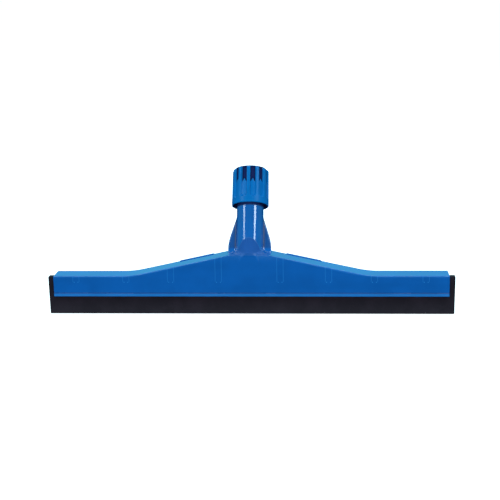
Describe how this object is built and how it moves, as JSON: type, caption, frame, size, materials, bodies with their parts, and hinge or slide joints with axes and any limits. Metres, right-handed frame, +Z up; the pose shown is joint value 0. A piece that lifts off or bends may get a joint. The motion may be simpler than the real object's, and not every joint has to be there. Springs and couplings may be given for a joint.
{
  "type": "floor squeegee head",
  "caption": "Floor squeegee head with a moulded channel body, twin foam rubber blades, and a leaning handle socket with a fluted screw-down locking collar.",
  "frame": {"origin": "middle of the bottom face of the front blade strip, on the surface that the blade wipes", "axes": "+X along the blade, +Y from front to back, the way the handle socket leans, +Z up"},
  "size_m": [0.45, 0.0759, 0.1598],
  "materials": {
    "body_plastic": "moulded blue polypropylene, semi-gloss",
    "spine_plastic": "moulded blue polypropylene, satin",
    "foam_rubber": "black closed-cell foam rubber, matt",
    "collar_plastic": "moulded light blue polypropylene, glossy",
    "ring_plastic": "moulded nylon, satin black"
  },
  "bodies": {
    "head": {"frame": "body_plastic", "socket_base": "body_plastic", "handle_socket": "body_plastic", "rear_clamp_plate": "body_plastic", "blade_spine": "spine_plastic", "front_blade_strip": "foam_rubber", "rear_blade_strip": "foam_rubber"},
    "ring": {"grip_ring": "ring_plastic"},
    "collar": {"locking_collar": "collar_plastic"}
  },
  "joints": [
    {"name": "collar_travel", "type": "slide", "parent": "head", "child": "ring", "axis": [0, 0.454, 0.891], "range_m": [0, 0.0065]},
    {"name": "collar_turn", "type": "hinge", "parent": "ring", "child": "collar", "pos_m": [0, 0.01002, 0.07054], "axis": [0, 0.454, 0.891], "range_deg": [0, 585]}
  ],
  "couplings": [
    {"joint": "collar_travel", "follows": "collar_turn", "m_per_rad": 0.00063662}
  ]
}
